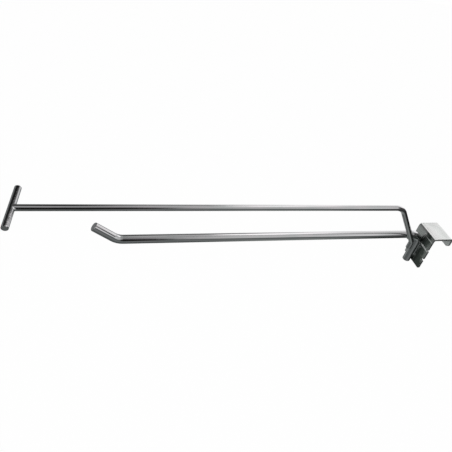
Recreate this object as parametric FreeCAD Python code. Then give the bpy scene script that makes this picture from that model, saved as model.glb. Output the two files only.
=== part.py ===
import FreeCAD, Part
import math
import os

# A chromed wire display hook with a label wire, to hang over a flat rectangular crossbar.
# Frame: X across the hook, Y towards the back, Z up. The arms reach towards -Y.
# The origin is the middle of the seat: the underside of the saddle's top plate, halfway between
# the front plate and the back lip, where the saddle rests on the crossbar.

# Crossbar that the saddle sits on
BAR_DEPTH = 15.0
BAR_PLAY = 0.2

# Saddle, pressed from one sheet
SHEET = 1.5
SADDLE_WIDTH = 20.3
SKIRT_STEP = 0.6
PLATE_DROP = 29.2
LIP_DROP = 7.0
FOLD_RADIUS = 1.0
PLATE_CORNER_RADIUS = 0.9
LIP_CORNER_RADIUS = 2.5
SLIT_LEVEL = 10.5
SLIT_HEIGHT = 1.0
SLIT_LENGTH = 8.6
NOTCH_LEVEL = 19.9
NOTCH_HEIGHT = 2.0
NOTCH_LENGTH = 1.8

# Round wires
PRODUCT_WIRE_D = 6.0
LABEL_WIRE_D = 4.0
CROSSBAR_D = 4.0
WELD_SINK = 0.2
WIRES_SHIFT = 0.6
RIM_CHAMFER = 0.3

# Product wire, measured from the front face of the front plate
PRODUCT_REACH = 248.3
TIP_LENGTH = 18.0
TIP_ANGLE = 38.7
TIP_RADIUS = 10.0
ELBOW_RADIUS = 8.0
LEG_OVERHANG = 1.8

# Label wire above it
LABEL_REACH = 290.5
LABEL_LEVEL = 27.0
WIRE_SPACING = 30.0
LABEL_BEND_RADIUS = 10.0
LABEL_LEAN = 35.3
TAIL_STANDOFF = 9.4
TAIL_DEPTH = 3.6
TAIL_LENGTH = 6.6
TAIL_RADIUS = 4.0

# Label crossbar at the front end
CROSSBAR_LENGTH = 37.0
CROSSBAR_SHIFT = 0.75

# Weld beads
CROSSBAR_BEAD_THROAT = 0.7
BEAD_EDGE = 0.15
CROSS_BEAD_THROAT = 0.4
PLATE_BEAD_RADIUS = 0.8
PLATE_BEAD_STANDOFF = 0.3
PLATE_BEAD_SETBACK = 1.5
PLATE_BEAD_LENGTH = 11.0

# Worked out from the values above
LIP_FRONT = (BAR_DEPTH + BAR_PLAY) / 2
PLATE_REAR = -LIP_FRONT
PLATE_FRONT = PLATE_REAR - SHEET
SIDE_GAP = (PRODUCT_WIRE_D + LABEL_WIRE_D) / 2 - WELD_SINK
PRODUCT_X = WIRES_SHIFT - SIDE_GAP / 2
LABEL_X = WIRES_SHIFT + SIDE_GAP / 2
PRODUCT_LEVEL = LABEL_LEVEL - WIRE_SPACING
LEG_Y = PLATE_FRONT - PRODUCT_WIRE_D / 2 + WELD_SINK
LEG_END = -PLATE_DROP - LEG_OVERHANG
CROSSBAR_Y = PLATE_FRONT - LABEL_REACH
ELBOW_END = PRODUCT_LEVEL - ELBOW_RADIUS


def point(x, y, z):
    return FreeCAD.Vector(x, y, z)


def bent_edges(corners, radii):
    """Straight runs through the corners, joined by tangent arcs of the radii given."""
    edges = []
    start = corners[0]
    for before, corner, after, radius in zip(corners, corners[1:], corners[2:], radii):
        run_in = (corner - before).normalize()
        run_out = (after - corner).normalize()
        half_turn = run_in.getAngle(run_out) / 2
        setback = radius * math.tan(half_turn)
        inwards = (run_out - run_in).normalize()
        arc_start = corner - run_in * setback
        arc_middle = corner + inwards * (radius / math.cos(half_turn) - radius)
        arc_end = corner + run_out * setback
        edges.append(Part.LineSegment(start, arc_start).toShape())
        edges.append(Part.Arc(arc_start, arc_middle, arc_end).toShape())
        start = arc_end
    edges.append(Part.LineSegment(start, corners[-1]).toShape())
    return edges


def round_wire(corners, radii, diameter):
    """A round wire bent along the corners, with flat ends."""
    path = Part.Wire(bent_edges(corners, radii))
    section = Part.Wire(Part.makeCircle(diameter / 2, corners[0], corners[1] - corners[0]))
    return path.makePipeShell([section], True, False)


def eased_end(wire, end):
    """The wire with the rim of one cut end broken."""
    rims = [e for e in wire.Edges if e.Closed and e.CenterOfMass.distanceToPoint(end) < RIM_CHAMFER]
    return wire.makeChamfer(RIM_CHAMFER, rims)


def side_cut(side, level, height, length):
    """A cut into the front plate from one side edge, with a round inner end."""
    reach = length - height / 2
    inner_end = point(SADDLE_WIDTH / 2 - reach, PLATE_FRONT - SHEET, 0)
    cut = Part.makeBox(reach + 2 * SKIRT_STEP, 3 * SHEET, height, inner_end - point(0, 0, height / 2))
    cut = cut.fuse(Part.makeCylinder(height / 2, 3 * SHEET, inner_end, point(0, 1, 0)))
    if side < 0:
        cut = cut.mirror(point(0, 0, 0), point(1, 0, 0))
    cut.translate(point(0, 0, -level))
    return cut


def skirt():
    """The near half of the front plate from the slit down, a little wider than the fold above it."""
    height = PLATE_DROP - SLIT_LEVEL
    return Part.makeBox(SADDLE_WIDTH / 2 + SKIRT_STEP, SHEET, height, point(0, PLATE_FRONT, -PLATE_DROP))


def saddle():
    """One sheet folded over the crossbar: front plate, top plate and a short back lip."""
    x = -SADDLE_WIDTH / 2
    inner = [
        point(x, PLATE_REAR, -PLATE_DROP),
        point(x, PLATE_REAR, 0),
        point(x, LIP_FRONT, 0),
        point(x, LIP_FRONT, -LIP_DROP),
    ]
    outer = [
        point(x, PLATE_FRONT, -PLATE_DROP),
        point(x, PLATE_FRONT, SHEET),
        point(x, LIP_FRONT + SHEET, SHEET),
        point(x, LIP_FRONT + SHEET, -LIP_DROP),
    ]
    edges = bent_edges(inner, [FOLD_RADIUS] * 2) + bent_edges(outer, [FOLD_RADIUS + SHEET] * 2)
    for a, b in zip(inner[::3], outer[::3]):
        edges.append(Part.LineSegment(a, b).toShape())
    profile = Part.Wire(Part.sortEdges(edges)[0])
    sheet = Part.Face(profile).extrude(point(SADDLE_WIDTH, 0, 0)).fuse(skirt()).removeSplitter()
    sheet = sheet.makeFillet(PLATE_CORNER_RADIUS, lower_corners(sheet, -PLATE_DROP))
    sheet = sheet.makeFillet(LIP_CORNER_RADIUS, lower_corners(sheet, -LIP_DROP))
    for side in (-1, 1):
        sheet = sheet.cut(side_cut(side, NOTCH_LEVEL, NOTCH_HEIGHT, NOTCH_LENGTH))
    return sheet.cut(side_cut(1, SLIT_LEVEL, SLIT_HEIGHT, SLIT_LENGTH))


def lower_corners(sheet, level):
    """The two edges at a level that run through the sheet, at the corners of the plate or the lip."""
    return [e for e in sheet.Edges if is_across(e) and abs(e.CenterOfMass.z - level) < 1e-6]


def is_across(edge):
    """Whether a straight edge runs along Y."""
    box = edge.BoundBox
    return box.YLength > SHEET / 2 and box.XLength < 1e-6 and box.ZLength < 1e-6


def product_wire():
    """The wire that carries the goods: tip bent up in front, leg bent down on the front plate."""
    angle = math.radians(TIP_ANGLE)
    end_y = PLATE_FRONT - PRODUCT_REACH
    bend = point(PRODUCT_X, end_y + TIP_LENGTH * math.cos(angle), PRODUCT_LEVEL)
    tip = point(PRODUCT_X, end_y, PRODUCT_LEVEL + TIP_LENGTH * math.sin(angle))
    elbow = point(PRODUCT_X, LEG_Y, PRODUCT_LEVEL)
    leg_end = point(PRODUCT_X, LEG_Y, LEG_END)
    wire = round_wire([tip, bend, elbow, leg_end], [TIP_RADIUS, ELBOW_RADIUS], PRODUCT_WIRE_D)
    wire = eased_end(wire, tip)
    return eased_end(wire, leg_end)


def tail_corner():
    """Where the slanted leg turns down into its tail, beside the product wire and in front of its leg."""
    return point(LABEL_X, LEG_Y - TAIL_STANDOFF, PRODUCT_LEVEL - TAIL_DEPTH)


def on_slanted_leg(level):
    """The point of the label wire's slanted leg at a level."""
    rise = level - tail_corner().z
    return tail_corner() + point(0, -rise * math.tan(math.radians(LABEL_LEAN)), rise)


def label_wire():
    """The thinner wire above: a slanted leg crosses beside the product wire and ends in a short tail."""
    front = point(LABEL_X, CROSSBAR_Y, LABEL_LEVEL)
    bend = on_slanted_leg(LABEL_LEVEL)
    tail = tail_corner()
    tail_end = tail - point(0, 0, TAIL_LENGTH)
    wire = round_wire([front, bend, tail, tail_end], [LABEL_BEND_RADIUS, TAIL_RADIUS], LABEL_WIRE_D)
    return eased_end(wire, tail_end)


def label_crossbar():
    """The short wire across the front end of the label wire."""
    middle = LABEL_X - CROSSBAR_SHIFT
    left = point(middle - CROSSBAR_LENGTH / 2, CROSSBAR_Y, LABEL_LEVEL)
    right = point(middle + CROSSBAR_LENGTH / 2, CROSSBAR_Y, LABEL_LEVEL)
    bar = Part.makeCylinder(CROSSBAR_D / 2, CROSSBAR_LENGTH, left, point(1, 0, 0))
    return eased_end(eased_end(bar, left), right)


def crossing():
    """Where the label wire's slanted leg touches the side of the product wire."""
    contact = on_slanted_leg(PRODUCT_LEVEL)
    contact.x = PRODUCT_X + PRODUCT_WIRE_D / 2 - WELD_SINK / 2
    return contact


def crossbar_bead():
    """A bead in the corner between the label wire's front end and the crossbar, sloping off behind."""
    front = point(LABEL_X, CROSSBAR_Y, LABEL_LEVEL)
    wide = LABEL_WIRE_D / 2 + CROSSBAR_BEAD_THROAT
    narrow = LABEL_WIRE_D / 2 + BEAD_EDGE
    return Part.makeCone(wide, narrow, CROSSBAR_D / 2 + CROSSBAR_BEAD_THROAT, front, point(0, 1, 0))


def plate_bead(side):
    """A bead in the groove beside the leg, its middle as far from the leg as from the front plate."""
    y = PLATE_FRONT - PLATE_BEAD_STANDOFF
    spread = math.sqrt((PRODUCT_WIRE_D / 2 + PLATE_BEAD_STANDOFF) ** 2 - (y - LEG_Y) ** 2)
    top = point(PRODUCT_X + side * spread, y, ELBOW_END - PLATE_BEAD_SETBACK)
    bottom = top - point(0, 0, PLATE_BEAD_LENGTH)
    bead = Part.makeCylinder(PLATE_BEAD_RADIUS, PLATE_BEAD_LENGTH, bottom, point(0, 0, 1))
    bead = bead.fuse(Part.makeSphere(PLATE_BEAD_RADIUS, top))
    return bead.fuse(Part.makeSphere(PLATE_BEAD_RADIUS, bottom)).removeSplitter()


def build():
    """Every piece in its place, each cut to meet its neighbours face to face."""
    bracket = saddle()
    product = product_wire().cut(bracket)
    crossbar = label_crossbar()
    label = label_wire().cut(product).cut(crossbar)
    cross_weld = Part.makeSphere(LABEL_WIRE_D / 2 + CROSS_BEAD_THROAT, crossing()).cut(label).cut(product)
    return {
        "saddle_bracket": bracket,
        "product_wire": product,
        "label_wire": label,
        "label_crossbar": crossbar,
        "crossbar_weld": crossbar_bead().cut(crossbar).cut(label),
        "cross_weld": cross_weld,
        "plate_weld_near": plate_bead(1).cut(product).cut(bracket),
        "plate_weld_far": plate_bead(-1).cut(product).cut(bracket),
    }


def main():
    os.makedirs("parts", exist_ok=True)
    for name, shape in build().items():
        print(name, "solids", len(shape.Solids), "volume", round(shape.Volume, 1), "valid", shape.isValid())
        shape.exportStep(f"parts/{name}.step")


main()
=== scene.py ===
"""Finishes, studio and camera for a chromed display hook with a label wire.

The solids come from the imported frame. Everything is in metres: X across the hook, Y towards the
back, Z up, with the origin in the middle of the saddle's seat.
"""

import math

import bpy
import numpy as np
from bpy.props import FloatProperty, FloatVectorProperty, PointerProperty
from mathutils import Matrix, Vector


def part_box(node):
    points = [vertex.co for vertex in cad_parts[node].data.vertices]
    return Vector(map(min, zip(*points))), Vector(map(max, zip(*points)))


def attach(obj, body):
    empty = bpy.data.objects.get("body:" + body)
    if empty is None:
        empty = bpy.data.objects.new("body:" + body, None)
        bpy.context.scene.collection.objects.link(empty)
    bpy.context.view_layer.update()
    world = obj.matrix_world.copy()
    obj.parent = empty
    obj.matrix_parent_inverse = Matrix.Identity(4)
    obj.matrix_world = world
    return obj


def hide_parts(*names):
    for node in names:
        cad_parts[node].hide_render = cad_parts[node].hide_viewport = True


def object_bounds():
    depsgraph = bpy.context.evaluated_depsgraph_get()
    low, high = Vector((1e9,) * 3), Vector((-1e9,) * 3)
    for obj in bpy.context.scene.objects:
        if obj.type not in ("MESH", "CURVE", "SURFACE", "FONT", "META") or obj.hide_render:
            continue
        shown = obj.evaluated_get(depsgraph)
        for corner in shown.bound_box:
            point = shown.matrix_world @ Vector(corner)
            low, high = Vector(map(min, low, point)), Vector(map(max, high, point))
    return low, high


bl_info = {
    "name": "Display hook finishes",
    "version": (1, 0, 0),
    "blender": (4, 5, 0),
    "location": "3D View > Sidebar > Display Hook",
    "description": "Gives a chromed wire display hook its plating, its studio and its camera",
    "category": "Object",
}

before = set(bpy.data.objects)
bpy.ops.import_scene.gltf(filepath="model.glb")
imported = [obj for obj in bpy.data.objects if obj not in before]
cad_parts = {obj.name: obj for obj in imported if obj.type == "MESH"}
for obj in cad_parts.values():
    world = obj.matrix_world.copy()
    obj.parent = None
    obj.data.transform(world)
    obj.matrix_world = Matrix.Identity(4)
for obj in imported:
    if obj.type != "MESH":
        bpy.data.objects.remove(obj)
CAD_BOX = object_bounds()

IMAGE_PIXELS = 452
SENSOR_MM = 36.0
CLIP_START = 0.005
CLIP_END = 50.0

# A noise lies between these two values nearly everywhere
NOISE_LOW = 0.3
NOISE_HIGH = 0.7

# Every plating: the shares of its colour and of its roughness between which they drift, and the scale
# and detail of the noises for the drift, the smudges and the drawing lines
COOL_TONE = (0.93, 0.965, 0.955)
WARM_TONE = (1.06, 1.035, 1.045)
GLOSSIEST = 0.7
DULLEST = 1.35
DRIFT_NOISE = (60.0, 3.0)
SMUDGE_NOISE = (140.0, 4.0)
GRAIN_NOISE = (900.0, 2.0)
GRAIN_DEPTH = 0.000004
WAVE_DETAIL = 1.0

# The grain of each plating as a stretch along X, Y and Z, and its slow waves as scale and depth
ALONG_ARMS = (1.0, 0.03, 1.0)
ALONG_CROSSPIECE = (0.03, 1.0, 1.0)
ACROSS_SHEET = (0.05, 1.0, 1.0)
WITHOUT_GRAIN = (1.0, 1.0, 1.0)
ARM_WAVES = (90.0, 0.00004)
CROSSPIECE_WAVES = (420.0, 0.00008)
SHEET_WAVES = (70.0, 0.0004)
BEAD_WAVES = (500.0, 0.00008)

# The saddle's sheet: a satin plating, paler and duller on its rounded edges, the pale colour partly wear
# and partly a painted edge highlight. An edge begins and is full at these cosines between the rounded
# normal and the flat one.
SATIN_METALLIC = 0.88
EDGE_RADIUS = 0.00045
EDGE_SAMPLES = 8
EDGE_BEGINS = 0.98
EDGE_IS_FULL = 0.85
WORN_AND_HIGHLIT_EDGE = (0.72, 0.73, 0.73)
WORN_ROUGHNESS = 0.3

# The front plate's painted light: painted shade on its near half, the deepest painted shade in the
# recess beside the leg, and painted highlights on the crease and the slit's rims
PAINTED_RECESS_SHADE = (0.09, 0.105, 0.095)
PAINTED_NEAR_SHADE = (0.34, 0.36, 0.34)
PAINTED_RIM_HIGHLIGHT = (0.92, 0.93, 0.92)

# Where this painted shade and these painted highlights lie, in metres from the corner where the plate's
# near side, its front face and the
# top of the fold meet: each border as where it begins and where it is full, and the two borders of
# each painted highlight band. At the foot the painted recess shade widens by the reach.
FRONT_FACE = (0.0013, 0.0007)
NEAR_HALF = (-0.01275, -0.00875)
RECESS_RIM = (-0.00125, -0.00575)
FOOT = (-0.0195, -0.0315)
FOOT_REACH = 0.008
CREASE_BAND = ((-0.0044, -0.0039), (-0.0032, -0.0037))
SLIT_BAND = ((-0.0134, -0.0129), (-0.0113, -0.0118))
BORDER_NOISE = (150.0, 2.0)
BORDER_DRIFT = 0.003

# The front joint's fillet: the radius of the ball that shapes it in metres, how far round the joint it
# reaches in half turns, and how deep its section runs into the metal as a share of the wire's radius
JOINT_BALL_RADIUS = 0.0011
JOINT_REACH = 0.497
JOINT_ROOT = 0.8

# The weld beads: the pitch of their ripples in metres, how far they sag as a share of it, how much
# they swell as a share of the bead's mean radius, that radius as a share of half the solid's width,
# and how near the first and the last row are to the ends, as a share of the length
BEAD_PITCH = 0.00115
BEAD_SAG = 0.35
BEAD_SWELL = 0.07
BEAD_MEAN_RADIUS = 0.93
BEAD_TIP = 0.004

# New pieces look smooth across an edge up to this angle, in degrees
SHARP_ANGLE = 40.0

# The floor's colour where light falls on it, and the share of plain white that it shows the camera
WHITE = (1.0, 1.0, 1.0, 1.0)
FLOOR_HALF_WIDTH = 6.0
FLOOR_COLOUR = (0.9, 0.9, 0.9, 1.0)
FLOOR_WHITE = 0.975

# The lamp, in metres and watts
LAMP_PLACE = (0.25, -0.1, 0.9)
LAMP_TARGET = (0.0, -0.15, 0.0)
LAMP_SIZE = 0.8
LAMP_POWER = 4.0

# What the studio tent is hung with, from black cloth to the lights
BLACK_CLOTH = (0.015, 0.015, 0.015)
DARK_CLOTH = (0.07, 0.07, 0.07)
DIM_CLOTH = (0.146, 0.138, 0.145)
GREY_CLOTH = (0.2, 0.21, 0.21)
PALE_CLOTH = (0.27, 0.29, 0.28)
BOUNCED_LIGHT = (0.53, 0.53, 0.53)
WEAK_LIGHT = (0.7, 0.7, 0.7)
WINDOW_LIGHT = (1.2, 1.2, 1.2)
LAMP_LIGHT = (1.45, 1.42, 1.43)

# How far the tent's rows rise and sink in half turns, so that they stop just short of its poles
TENT_REACH = 0.499

# The tent's sky and ground: directions as azimuth and elevation in degrees, and colours
SKY_AXIS = (150.0, 60.0)
HORIZON_SOFTNESS = 0.13
SKY_BRIGHT_SIDE = (45.0, -35.0)
SKY_DARK = (0.24, 0.235, 0.235)
SKY_BRIGHT = (1.75, 1.74, 1.77)
GROUND_BRIGHT_SIDE = (-70.0, 0.0)
GROUND_DARK = (0.06, 0.072, 0.073)
GROUND_BRIGHT = (0.14, 0.15, 0.147)

# Strips laid along the hook, each over the ones before: angle about the hook from +X upwards, half
# width and soft edge in degrees; front end, back end and soft end in shares of the tent's radius
STUDIO_STRIPS = {
    "black flag over the camera": (8, 14, 16, -0.7, -0.15, 0.15, BLACK_CLOTH),
    "grey sheet below the camera": (-24, 6, 12, -0.05, 0.9, 0.15, GREY_CLOTH),
    "black flag on the far side": (144, 3, 9, -0.95, 0.4, 0.2, BLACK_CLOTH),
    "window overhead": (96, 27, 30, 0.35, 1.0, 0.35, WINDOW_LIGHT),
    "pale sheet on the ground": (-86, 26, 25, 0.2, 0.6, 0.15, PALE_CLOTH),
    "dim sheet over the camera": (41, 22, 10, -0.45, 0.25, 0.35, DIM_CLOTH),
    "weak light behind the camera": (47, 12, 33, 0.05, 0.7, 0.3, WEAK_LIGHT),
    "dark corner at the back": (-41, 11, 13, 0.7, 1.0, 0.1, DARK_CLOTH),
}

# Round cards, each over the ones before: azimuth, elevation, angle of the full patch, soft edge
STUDIO_CARDS = {
    "black roof on the far side": (180, 55, 3, 49, BLACK_CLOTH),
    "dark room behind the camera": (-31, 14, 29, 2, BLACK_CLOTH),
    "grey table": (10, -31, 23, 2, GREY_CLOTH),
    "lit roof": (134, 63, 24, 16, BOUNCED_LIGHT),
    "lamp behind the saddle": (117, 42, 31, 5, LAMP_LIGHT),
    "lamp's dim rim": (90, 47, 1, 25, BOUNCED_LIGHT),
    "dark doorway": (71, -3, 21, 17, DARK_CLOTH),
    "grey wall on the far side": (-174, -24, 18, 14, GREY_CLOTH),
    "dark head of the doorway": (69, 24, 3, 17, DARK_CLOTH),
    "black foot of the doorway": (78, -26, 14, 18, BLACK_CLOTH),
    "weak light beside the lamp": (128, 33, 4, 9, WEAK_LIGHT),
    "grey sheet on the far side": (-144, -8, 25, 7, GREY_CLOTH),
    "pale sheet before the plate": (-142, -38, 10, 9, PALE_CLOTH),
}


class FinishSettings(bpy.types.PropertyGroup):
    """Colours and roughness of the platings"""

    wire_colour: FloatVectorProperty(
        name="Wire plating",
        description="Colour of the bright plating on the wires",
        subtype="COLOR",
        size=3,
        min=0.0,
        max=1.0,
        default=(0.625, 0.621, 0.626),
    )
    wire_roughness: FloatProperty(
        name="Wire roughness",
        description="How much the plating on the wires blurs what it mirrors",
        subtype="FACTOR",
        min=0.0,
        max=1.0,
        default=0.09,
    )
    saddle_colour: FloatVectorProperty(
        name="Saddle plating",
        description="Colour of the plating on the folded saddle",
        subtype="COLOR",
        size=3,
        min=0.0,
        max=1.0,
        default=(0.6, 0.61, 0.6),
    )
    saddle_roughness: FloatProperty(
        name="Saddle roughness",
        description="How much the plating on the saddle blurs what it mirrors",
        subtype="FACTOR",
        min=0.0,
        max=1.0,
        default=0.24,
    )
    weld_roughness: FloatProperty(
        name="Weld roughness",
        description="How much the plating on the weld beads blurs what it mirrors",
        subtype="FACTOR",
        min=0.0,
        max=1.0,
        default=0.24,
    )


class StudioSettings(bpy.types.PropertyGroup):
    """The floor, the tent and the soft light"""

    floor_level: FloatProperty(
        name="Floor level",
        description="Height of the floor below the seat of the hanging hook",
        subtype="DISTANCE",
        unit="LENGTH",
        default=-0.7,
    )
    tent_radius: FloatProperty(
        name="Tent radius",
        description="Radius of the reflecting tent that the plating mirrors",
        subtype="DISTANCE",
        unit="LENGTH",
        min=0.4,
        default=0.6,
    )
    world_strength: FloatProperty(
        name="World strength",
        description="Level of the soft light from all around",
        min=0.0,
        default=0.7,
    )


class CameraSettings(bpy.types.PropertyGroup):
    """Where the camera stands and how it looks at the hook"""

    place: FloatVectorProperty(
        name="Camera place",
        description="Where the camera stands",
        subtype="XYZ",
        unit="LENGTH",
        size=3,
        default=(0.203376, -0.236439, 0.185882),
    )
    azimuth: FloatProperty(
        name="Azimuth",
        description="Angle of the view around the hook, from its front towards its right side",
        subtype="ANGLE",
        unit="ROTATION",
        default=math.radians(70.59),
    )
    elevation: FloatProperty(
        name="Elevation",
        description="Angle at which the camera looks down",
        subtype="ANGLE",
        unit="ROTATION",
        default=math.radians(38.38),
    )
    roll: FloatProperty(
        name="Roll",
        description="Turn of the camera about its line of sight",
        subtype="ANGLE",
        unit="ROTATION",
        default=math.radians(11.98),
    )
    focal_pixels: FloatProperty(
        name="Focal length in pixels",
        description="Focal length, in pixels of the finished image",
        subtype="PIXEL",
        min=50.0,
        default=411.24,
    )
    centre_x: FloatProperty(
        name="Optical centre across",
        description="Where the line of sight meets the image, in pixels from its left edge",
        subtype="PIXEL",
        default=239.22,
    )
    centre_y: FloatProperty(
        name="Optical centre down",
        description="Where the line of sight meets the image, in pixels from its top edge",
        subtype="PIXEL",
        default=219.06,
    )


def new_material(name):
    """An empty node material, its tree and its output node."""
    material = bpy.data.materials.new(name)
    material.use_nodes = True
    tree = material.node_tree
    tree.nodes.clear()
    output = tree.nodes.new("ShaderNodeOutputMaterial")
    return material, tree, output


def dress(node, material):
    """Gives a carried-over solid its finish, as its one material."""
    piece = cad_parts[node]
    piece.data.materials.clear()
    piece.data.materials.append(material)


def noise(tree, coordinates, scale, detail, stretch=(1.0, 1.0, 1.0)):
    """A noise texture on the piece's own coordinates, stretched along the axes by a mapping."""
    mapping = tree.nodes.new("ShaderNodeMapping")
    mapping.inputs["Scale"].default_value = stretch
    tree.links.new(coordinates, mapping.inputs["Vector"])
    texture = tree.nodes.new("ShaderNodeTexNoise")
    texture.inputs["Scale"].default_value = scale
    texture.inputs["Detail"].default_value = detail
    tree.links.new(mapping.outputs["Vector"], texture.inputs["Vector"])
    return texture.outputs["Fac"]


def eased(tree, value, start, end, low=0.0, high=1.0, smooth=True):
    """A value carried from one range to another, smoothly or in proportion."""
    spread = tree.nodes.new("ShaderNodeMapRange")
    spread.interpolation_type = "SMOOTHSTEP" if smooth else "LINEAR"
    spread.inputs["From Min"].default_value = start
    spread.inputs["From Max"].default_value = end
    spread.inputs["To Min"].default_value = low
    spread.inputs["To Max"].default_value = high
    tree.links.new(value, spread.inputs["Value"])
    return spread.outputs["Result"]


def ranged(tree, value, low, high):
    """A noise spread over a range."""
    return eased(tree, value, NOISE_LOW, NOISE_HIGH, low, high, smooth=False)


def blended(tree, share, first, second):
    """The first colour where the share is 0, the second where it is 1."""
    mix = tree.nodes.new("ShaderNodeMix")
    mix.data_type = "RGBA"
    tree.links.new(share, mix.inputs["Factor"])
    for socket, colour in (("A", first), ("B", second)):
        if isinstance(colour, tuple):
            mix.inputs[socket].default_value = (*colour, 1.0)
        else:
            tree.links.new(colour, mix.inputs[socket])
    return mix.outputs["Result"]


def mixed(tree, share, first, second):
    """The first value where the share is 0, the second where it is 1."""
    mix = tree.nodes.new("ShaderNodeMix")
    tree.links.new(share, mix.inputs["Factor"])
    tree.links.new(first, mix.inputs["A"])
    mix.inputs["B"].default_value = second
    return mix.outputs["Result"]


def worked_out(tree, operation, first, second):
    """What one operation makes of two values, of which the second may be a plain number."""
    step = tree.nodes.new("ShaderNodeMath")
    step.operation = operation
    tree.links.new(first, step.inputs[0])
    if isinstance(second, float):
        step.inputs[1].default_value = second
    else:
        tree.links.new(second, step.inputs[1])
    return step.outputs["Value"]


def product(tree, first, second):
    """Two values multiplied."""
    return worked_out(tree, "MULTIPLY", first, second)


def total(tree, first, second):
    """Two values added."""
    return worked_out(tree, "ADD", first, second)


def vector_step(tree, operation, first, second=None):
    """A node for one operation on one or two vectors, of which the second may be plain numbers."""
    step = tree.nodes.new("ShaderNodeVectorMath")
    step.operation = operation
    tree.links.new(first, step.inputs[0])
    if isinstance(second, bpy.types.NodeSocket):
        tree.links.new(second, step.inputs[1])
    elif second is not None:
        step.inputs[1].default_value = second
    return step


def bump(tree, height, depth, normal=None):
    """A surface raised by a height, over another normal if there is one."""
    raised = tree.nodes.new("ShaderNodeBump")
    raised.inputs["Distance"].default_value = depth
    tree.links.new(height, raised.inputs["Height"])
    if normal is not None:
        tree.links.new(normal, raised.inputs["Normal"])
    return raised.outputs["Normal"]


def band(tree, value, lower, upper):
    """How much a value lies between two borders, each given as where it begins and where it is full."""
    return product(tree, eased(tree, value, *lower), eased(tree, value, *upper))


def box_corners(node):
    """The lowest and the highest corner of a solid's box."""
    return [np.array(corner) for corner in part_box(node)]


def rounded_edges(tree):
    """The normal of the rounded edges, and how much of an edge each place is."""
    rounded = tree.nodes.new("ShaderNodeBevel")
    rounded.samples = EDGE_SAMPLES
    rounded.inputs["Radius"].default_value = EDGE_RADIUS
    flat = tree.nodes.new("ShaderNodeNewGeometry")
    normal = rounded.outputs["Normal"]
    likeness = vector_step(tree, "DOT_PRODUCT", normal, flat.outputs["Normal"]).outputs["Value"]
    return normal, eased(tree, likeness, EDGE_BEGINS, EDGE_IS_FULL)


def front_plate_painted_light(tree, coordinates, tone):
    """The saddle's tone, with painted shade on its front plate's near half, the deepest painted shade in
    the recess beside the leg and at the foot, and painted highlights along the crease under the fold and
    the slit's rims. A slow noise makes the borders uneven."""
    low, high = box_corners("saddle_bracket")
    corner = (high[0], low[1], high[2])
    place = vector_step(tree, "SUBTRACT", coordinates, corner).outputs["Vector"]
    split = tree.nodes.new("ShaderNodeSeparateXYZ")
    tree.links.new(place, split.inputs["Vector"])
    across, depth, level = (split.outputs[axis] for axis in "XYZ")
    uneven = ranged(tree, noise(tree, coordinates, *BORDER_NOISE), -BORDER_DRIFT, BORDER_DRIFT)
    across = total(tree, across, uneven)
    at_foot = eased(tree, level, *FOOT, 0.0, -FOOT_REACH, smooth=False)
    recess = eased(tree, total(tree, across, at_foot), *RECESS_RIM)
    near = product(tree, eased(tree, depth, *FRONT_FACE), eased(tree, across, *NEAR_HALF))
    pale = total(tree, band(tree, level, *CREASE_BAND), band(tree, level, *SLIT_BAND))
    # painted shade over the front plate's near half
    tone = blended(tree, near, tone, PAINTED_NEAR_SHADE)
    # deeper painted shade in the recess beside the leg and at the foot
    tone = blended(tree, product(tree, near, recess), tone, PAINTED_RECESS_SHADE)
    # painted highlights along the crease under the fold and the slit's rims
    return blended(tree, product(tree, near, pale), tone, PAINTED_RIM_HIGHLIGHT)


def sheet_wear_and_painted_light(tree, coordinates, tone, gloss):
    """The saddle's tone, gloss and normal: painted shade and painted highlights on the front plate, and
    pale, dull, rounded edges whose pale colour is partly wear and partly a painted edge highlight.
    """
    normal, edge = rounded_edges(tree)
    # pale rounded edges: partly wear, partly a painted edge highlight
    tone = blended(tree, edge, front_plate_painted_light(tree, coordinates, tone), WORN_AND_HIGHLIT_EDGE)
    return tone, mixed(tree, edge, gloss, WORN_ROUGHNESS), normal


def plated(name, colour, roughness, grain, waves, metallic=1.0, wear_and_painted_light=None):
    """Bright plating on drawn or pressed steel. Its tone drifts a little between cool and warm, its
    gloss is smudged, fine drawing lines run along the grain, and slow waves bend what it mirrors. A
    function for wear and painted light may change its tone, gloss and normal first."""
    material, tree, output = new_material(name)
    coordinates = tree.nodes.new("ShaderNodeTexCoord").outputs["Object"]
    metal = tree.nodes.new("ShaderNodeBsdfPrincipled")
    metal.inputs["Metallic"].default_value = metallic
    cool = tuple(c * share for c, share in zip(colour, COOL_TONE))
    warm = tuple(c * share for c, share in zip(colour, WARM_TONE))
    drift = ranged(tree, noise(tree, coordinates, *DRIFT_NOISE), 0.0, 1.0)
    tone = blended(tree, drift, cool, warm)
    smudge = noise(tree, coordinates, *SMUDGE_NOISE)
    gloss = ranged(tree, smudge, roughness * GLOSSIEST, roughness * DULLEST)
    normal = None
    if wear_and_painted_light is not None:
        tone, gloss, normal = wear_and_painted_light(tree, coordinates, tone, gloss)
    wave_scale, wave_depth = waves
    normal = bump(tree, noise(tree, coordinates, wave_scale, WAVE_DETAIL), wave_depth, normal)
    normal = bump(tree, noise(tree, coordinates, *GRAIN_NOISE, grain), GRAIN_DEPTH, normal)
    tree.links.new(tone, metal.inputs["Base Color"])
    tree.links.new(gloss, metal.inputs["Roughness"])
    tree.links.new(normal, metal.inputs["Normal"])
    tree.links.new(metal.outputs["BSDF"], output.inputs["Surface"])
    return material


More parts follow.
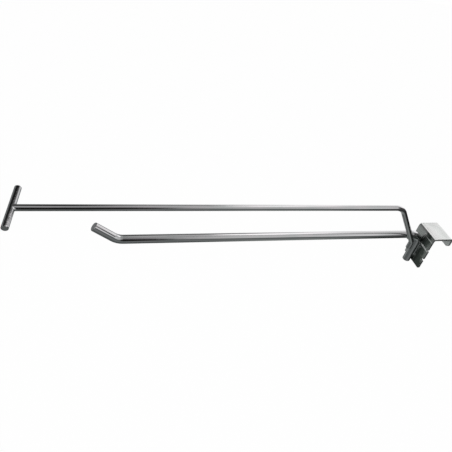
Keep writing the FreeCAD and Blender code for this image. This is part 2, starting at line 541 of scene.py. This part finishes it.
def grid_mesh(name, points, closed_across=False, closed_along=False):
    """A mesh from a grid of points, rows by columns, with one face between each four neighbours. The
    last column may join the first one, and the last row the first one. Where only the columns join,
    a flat face closes each end."""
    rows, columns = points.shape[:2]
    index = np.arange(rows * columns).reshape(rows, columns)
    if closed_across:
        index = np.concatenate([index, index[:, :1]], axis=1)
    if closed_along:
        index = np.concatenate([index, index[:1]])
    four = (index[:-1, :-1], index[:-1, 1:], index[1:, 1:], index[1:, :-1])
    faces = np.stack(four, axis=-1).reshape(-1, 4).tolist()
    if closed_across and not closed_along:
        faces += [index[0, -2::-1].tolist(), index[-1, :-1].tolist()]
    mesh = bpy.data.meshes.new(name)
    mesh.from_pydata(points.reshape(-1, 3).tolist(), [], faces)
    mesh.update()
    return mesh


def add_object(name, mesh):
    """Puts a mesh in the scene, at the origin."""
    piece = bpy.data.objects.new(name, mesh)
    bpy.context.scene.collection.objects.link(piece)
    return piece


class HOOK_OT_finish_wires(bpy.types.Operator):
    """Plates the product wire, the label wire and its crossbar"""

    bl_idname = "hook.finish_wires"
    bl_label = "Plate the wires"

    def execute(self, context):
        finish = context.scene.hook_finish
        colour, roughness = tuple(finish.wire_colour), finish.wire_roughness
        arms = plated("bright_wire", colour, roughness, ALONG_ARMS, ARM_WAVES)
        crosspiece = plated("bright_crossbar", colour, roughness, ALONG_CROSSPIECE, CROSSPIECE_WAVES)
        dress("product_wire", arms)
        dress("label_wire", arms)
        dress("label_crossbar", crosspiece)
        return {"FINISHED"}


class HOOK_OT_finish_saddle(bpy.types.Operator):
    """Plates the folded saddle"""

    bl_idname = "hook.finish_saddle"
    bl_label = "Plate the saddle"

    def execute(self, context):
        finish = context.scene.hook_finish
        sheet = plated(
            "plated_sheet", tuple(finish.saddle_colour), finish.saddle_roughness,
            ACROSS_SHEET, SHEET_WAVES, metallic=SATIN_METALLIC, wear_and_painted_light=sheet_wear_and_painted_light,
        )
        dress("saddle_bracket", sheet)
        return {"FINISHED"}


def fillet_points(rows=72, columns=13):
    """The skin of a ball rolled round the corner between two equal crossing wires: rows round the
    joint, columns across the fillet. The ball's middle keeps the same distance from both axes, and
    each row is the arc between the two places where the ball touches the wires. A last column runs
    inside the metal and closes the section. At top and bottom the rows stop just short of the place
    where the arc would shrink to a point."""
    low, high = box_corners("label_crossbar")
    wire_radius = (high[2] - low[2]) / 2
    joint = (low + high) / 2
    joint[0] = sum(corner[0] for corner in box_corners("label_wire")) / 2
    rise = np.linspace(-JOINT_REACH * np.pi, JOINT_REACH * np.pi, rows)
    side = np.repeat([1.0, -1.0], rows)
    rise = np.concatenate([rise, rise[::-1]])
    flat, steep, none = np.cos(rise), np.sin(rise), np.zeros_like(rise)
    outward = np.stack([side * flat, flat, steep], axis=-1)[:, None]
    to_wire = np.stack([-side * flat, none, -steep], axis=-1)[:, None]
    to_bar = np.stack([none, -flat, -steep], axis=-1)[:, None]
    angle = np.arccos(np.sum(to_wire * to_bar, axis=-1, keepdims=True))
    share = np.linspace(1.0, 0.0, columns)[None, :, None]
    arc = (np.sin((1 - share) * angle) * to_wire + np.sin(share * angle) * to_bar) / np.sin(angle)
    skin = outward * (wire_radius + JOINT_BALL_RADIUS) + arc * JOINT_BALL_RADIUS
    inside = outward * wire_radius * JOINT_ROOT
    return np.concatenate([skin, inside], axis=1) + joint


def bead_points(node, rows=120, columns=24):
    """A weld bead along Z in a node's box: rows go up it and columns round it. Its radius swells and
    sinks with the ripples of the weld, and each end closes like a ball. The ripples sag in front, as
    molten metal does."""
    low, high = box_corners(node)
    length = high[2] - low[2]
    full = (high[0] - low[0]) / 2
    middle = (low + high) / 2
    height = np.linspace(BEAD_TIP, 1.0 - BEAD_TIP, rows)[:, None] * length
    turn = np.linspace(0.0, 2.0 * np.pi, columns, endpoint=False)[None, :]
    end = np.minimum(height, length - height)
    closing = np.sqrt(np.clip(1.0 - (1.0 - np.minimum(end / full, 1.0)) ** 2, 0.0, 1.0))
    sag = BEAD_SAG * BEAD_PITCH * np.cos(turn + 0.5 * np.pi)
    ripple = 1.0 + BEAD_SWELL * np.cos(2.0 * np.pi * (height + sag) / BEAD_PITCH)
    radius = full * closing * ripple * BEAD_MEAN_RADIUS
    x = middle[0] + radius * np.cos(turn)
    y = middle[1] + radius * np.sin(turn)
    z = low[2] + height + np.zeros_like(turn)
    return np.stack([x, y, z], axis=-1)


class HOOK_OT_build_welds(bpy.types.Operator):
    """Builds the fillet at the front joint and the rippled beads beside the leg, and plates the welds"""

    bl_idname = "hook.build_welds"
    bl_label = "Build and plate the welds"

    def execute(self, context):
        finish = context.scene.hook_finish
        colour = tuple(finish.wire_colour)
        bead = plated("plated_bead", colour, finish.weld_roughness, WITHOUT_GRAIN, BEAD_WAVES)
        dress("cross_weld", bead)
        shapes = {"crossbar_weld": grid_mesh("joint_fillet", fillet_points(), True, True)}
        for node in ("plate_weld_near", "plate_weld_far"):
            shapes[node] = grid_mesh("rippled_" + node, bead_points(node), True, False)
        for node, mesh in shapes.items():
            mesh.polygons.foreach_set("use_smooth", [True] * len(mesh.polygons))
            mesh.set_sharp_from_angle(angle=math.radians(SHARP_ANGLE))
            piece = add_object(mesh.name, mesh)
            piece.data.materials.append(bead)
            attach(piece, "root")
            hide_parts(node)
        return {"FINISHED"}


def set_glossy_only(piece):
    """Lets only mirrored rays see a stage piece, so it never stands in a picture or shades the hook."""
    piece.visible_camera = False
    piece.visible_diffuse = False
    piece.visible_transmission = False
    piece.visible_shadow = False
    piece.visible_volume_scatter = False


def direction(azimuth, elevation):
    """The unit vector at an azimuth from +X towards +Y, and an elevation, both in degrees."""
    turn, rise = math.radians(azimuth), math.radians(elevation)
    return (math.cos(rise) * math.cos(turn), math.cos(rise) * math.sin(turn), math.sin(rise))


def towards(tree, place, azimuth, elevation):
    """The cosine of the angle between a place on the tent and a direction."""
    return vector_step(tree, "DOT_PRODUCT", place, direction(azimuth, elevation)).outputs["Value"]


def patch(tree, cosine, inner, edge):
    """How much of a patch is seen at an angle from its middle, given as a cosine."""
    faded, full = (math.cos(math.radians(angle)) for angle in (inner + edge, inner))
    return eased(tree, cosine, faded, full)


def tent_places(tree, centre):
    """The unit vector from the tent's centre to a place on it, and the same with its part along the
    hook left out."""
    place = tree.nodes.new("ShaderNodeTexCoord").outputs["Object"]
    place = vector_step(tree, "SUBTRACT", place, centre).outputs["Vector"]
    place = vector_step(tree, "NORMALIZE", place).outputs["Vector"]
    around = vector_step(tree, "MULTIPLY", place, (1.0, 0.0, 1.0)).outputs["Vector"]
    return place, vector_step(tree, "NORMALIZE", around).outputs["Vector"]


def graded(tree, place, bright_side, dark, bright):
    """A colour that grows from dark to bright towards one side of the tent."""
    share = eased(tree, towards(tree, place, *bright_side), -1.0, 1.0, smooth=False)
    return blended(tree, share, dark, bright)


def tent_material(centre):
    """The tent's cloth: a pale sky, a dark ground, long strips and round cards. A strip is full within
    its half width and between its two ends. A card is a round patch about a direction. Both fade out
    over their soft edges."""
    material, tree, output = new_material("tent_cloth")
    place, around = tent_places(tree, centre)
    along = towards(tree, place, 90.0, 0.0)
    sky = graded(tree, place, SKY_BRIGHT_SIDE, SKY_DARK, SKY_BRIGHT)
    ground = graded(tree, place, GROUND_BRIGHT_SIDE, GROUND_DARK, GROUND_BRIGHT)
    above = eased(tree, towards(tree, place, *SKY_AXIS), -HORIZON_SOFTNESS, HORIZON_SOFTNESS)
    colour = blended(tree, above, ground, sky)
    for name, (angle, half, edge, front, back, fade, cloth) in STUDIO_STRIPS.items():
        width = patch(tree, towards(tree, around, 0.0, angle), half, edge)
        length = band(tree, along, (front - fade, front + fade), (back + fade, back - fade))
        colour = blended(tree, product(tree, width, length), colour, cloth)
        colour.node.label = name
    for name, (azimuth, elevation, inner, edge, cloth) in STUDIO_CARDS.items():
        share = patch(tree, towards(tree, place, azimuth, elevation), inner, edge)
        colour = blended(tree, share, colour, cloth)
        colour.node.label = name
    glow = tree.nodes.new("ShaderNodeEmission")
    tree.links.new(colour, glow.inputs["Color"])
    tree.links.new(glow.outputs["Emission"], output.inputs["Surface"])
    return material


def seen_directly(tree):
    """1 for what the camera sees, straight or through a mirror or glass, and 0 for the other light."""
    path = tree.nodes.new("ShaderNodeLightPath")
    seen = worked_out(tree, "MAXIMUM", path.outputs["Is Camera Ray"], path.outputs["Is Glossy Ray"])
    return worked_out(tree, "MAXIMUM", seen, path.outputs["Is Transmission Ray"])


def joined(tree, share, first, second, output):
    """Sends two shaders to an output: the first where the share is 0, the second where it is 1."""
    mix = tree.nodes.new("ShaderNodeMixShader")
    tree.links.new(share, mix.inputs["Fac"])
    tree.links.new(first, mix.inputs[1])
    tree.links.new(second, mix.inputs[2])
    tree.links.new(mix.outputs["Shader"], output.inputs["Surface"])


def floor_material():
    """A pale matt floor that shows plain white to the camera and in mirrors, and takes the shadow."""
    material, tree, output = new_material("pale_floor")
    matt = tree.nodes.new("ShaderNodeBsdfDiffuse")
    matt.inputs["Color"].default_value = FLOOR_COLOUR
    glow = tree.nodes.new("ShaderNodeEmission")
    glow.inputs["Color"].default_value = WHITE
    share = product(tree, seen_directly(tree), FLOOR_WHITE)
    joined(tree, share, matt.outputs["BSDF"], glow.outputs["Emission"], output)
    return material


def background(tree, strength):
    """A plain white world light of a given strength."""
    light = tree.nodes.new("ShaderNodeBackground")
    light.inputs["Color"].default_value = WHITE
    light.inputs["Strength"].default_value = strength
    return light.outputs["Background"]


def light_world(strength):
    """Soft light from all around, with a plain white background for the camera and for mirrors."""
    world = bpy.data.worlds.new("studio_world")
    bpy.context.scene.world = world
    world.use_nodes = True
    tree = world.node_tree
    tree.nodes.clear()
    output = tree.nodes.new("ShaderNodeOutputWorld")
    joined(tree, seen_directly(tree), background(tree, strength), background(tree, 1.0), output)


def add_lamp():
    """A large soft lamp over the hook, which mirrors don't show."""
    data = bpy.data.lights.new("soft_lamp", "AREA")
    data.shape = "SQUARE"
    data.size = LAMP_SIZE
    data.energy = LAMP_POWER
    lamp = bpy.data.objects.new("soft_lamp", data)
    lamp.location = LAMP_PLACE
    away = Vector(LAMP_PLACE) - Vector(LAMP_TARGET)
    lamp.rotation_euler = away.to_track_quat("Z", "Y").to_euler()
    lamp.visible_glossy = False
    bpy.context.scene.collection.objects.link(lamp)


def floor_points(middle, level):
    """The four corners of the floor about a middle, at a level."""
    side = np.array([-FLOOR_HALF_WIDTH, FLOOR_HALF_WIDTH])
    points = np.full((2, 2, 3), level)
    points[..., 0] = middle[0] + side[None, :]
    points[..., 1] = middle[1] + side[:, None]
    return points


def tent_points(centre, radius, rows=49, columns=64):
    """A sphere about a centre: columns turn once round it, and rows go from its foot to its top."""
    turn = np.linspace(0.0, 2.0 * np.pi, columns, endpoint=False)
    rise = np.linspace(-TENT_REACH * np.pi, TENT_REACH * np.pi, rows)[:, None]
    ring = np.cos(rise) * radius
    x = centre[0] + ring * np.cos(turn)
    y = centre[1] + ring * np.sin(turn)
    z = centre[2] + np.sin(rise) * radius + np.zeros_like(turn)
    return np.stack([x, y, z], axis=-1)


class HOOK_OT_build_stage(bpy.types.Operator):
    """Builds the floor, the reflecting tent, the lamp and the soft light around the hook"""

    bl_idname = "hook.build_stage"
    bl_label = "Build the stage"

    def execute(self, context):
        studio = context.scene.hook_studio
        low, high = CAD_BOX
        middle = (low + high) / 2
        floor = add_object("floor", grid_mesh("floor", floor_points(middle, studio.floor_level)))
        floor.data.materials.append(floor_material())
        centre = (middle.x, middle.y, 0.0)
        tent = add_object("tent", grid_mesh("tent", tent_points(centre, studio.tent_radius), True))
        tent.data.materials.append(tent_material(centre))
        set_glossy_only(tent)
        light_world(studio.world_strength)
        add_lamp()
        return {"FINISHED"}


class HOOK_OT_place_camera(bpy.types.Operator):
    """Places the camera at the viewing angle of the photograph"""

    bl_idname = "hook.place_camera"
    bl_label = "Place the camera"

    def execute(self, context):
        view = context.scene.hook_camera
        back = Vector((
            math.sin(view.azimuth) * math.cos(view.elevation),
            -math.cos(view.azimuth) * math.cos(view.elevation),
            math.sin(view.elevation),
        ))
        level_right = (-back).cross(Vector((0.0, 0.0, 1.0))).normalized()
        level_up = level_right.cross(-back)
        right = math.cos(view.roll) * level_right + math.sin(view.roll) * level_up
        up = -math.sin(view.roll) * level_right + math.cos(view.roll) * level_up
        turn = Matrix((right, up, back)).transposed()
        data = bpy.data.cameras.new("camera")
        data.sensor_width = SENSOR_MM
        data.lens = view.focal_pixels * SENSOR_MM / IMAGE_PIXELS
        data.shift_x = (IMAGE_PIXELS / 2 - view.centre_x) / IMAGE_PIXELS
        data.shift_y = (view.centre_y - IMAGE_PIXELS / 2) / IMAGE_PIXELS
        data.clip_start = CLIP_START
        data.clip_end = CLIP_END
        camera = bpy.data.objects.new("camera", data)
        camera.matrix_world = Matrix.Translation(view.place) @ turn.to_4x4()
        context.scene.collection.objects.link(camera)
        context.scene.camera = camera
        return {"FINISHED"}


class HOOK_PT_panel(bpy.types.Panel):
    """Lists the steps that dress the hook"""

    bl_idname = "HOOK_PT_panel"
    bl_label = "Display Hook"
    bl_space_type = "VIEW_3D"
    bl_region_type = "UI"
    bl_category = "Display Hook"

    def draw(self, context):
        layout = self.layout
        for group in ("hook_finish", "hook_studio", "hook_camera"):
            settings = getattr(context.scene, group)
            box = layout.box()
            for name in settings.__annotations__:
                box.prop(settings, name)
        for operator in OPERATORS:
            layout.operator(operator.bl_idname)


SETTINGS = {
    "hook_finish": FinishSettings,
    "hook_studio": StudioSettings,
    "hook_camera": CameraSettings,
}
OPERATORS = (
    HOOK_OT_finish_wires,
    HOOK_OT_finish_saddle,
    HOOK_OT_build_welds,
    HOOK_OT_build_stage,
    HOOK_OT_place_camera,
)


def register():
    """Adds the settings, the steps and the panel."""
    for group, settings in SETTINGS.items():
        bpy.utils.register_class(settings)
        setattr(bpy.types.Scene, group, PointerProperty(type=settings))
    for operator in OPERATORS:
        bpy.utils.register_class(operator)
    bpy.utils.register_class(HOOK_PT_panel)


def unregister():
    """Takes them out again."""
    bpy.utils.unregister_class(HOOK_PT_panel)
    for operator in reversed(OPERATORS):
        bpy.utils.unregister_class(operator)
    for group, settings in reversed(list(SETTINGS.items())):
        delattr(bpy.types.Scene, group)
        bpy.utils.unregister_class(settings)


def main():
    """Runs every step in order."""
    register()
    bpy.context.scene.view_settings.view_transform = "Standard"
    bpy.ops.hook.finish_wires()
    bpy.ops.hook.finish_saddle()
    bpy.ops.hook.build_welds()
    bpy.ops.hook.build_stage()
    bpy.ops.hook.place_camera()


if __name__ == "__main__":
    main()
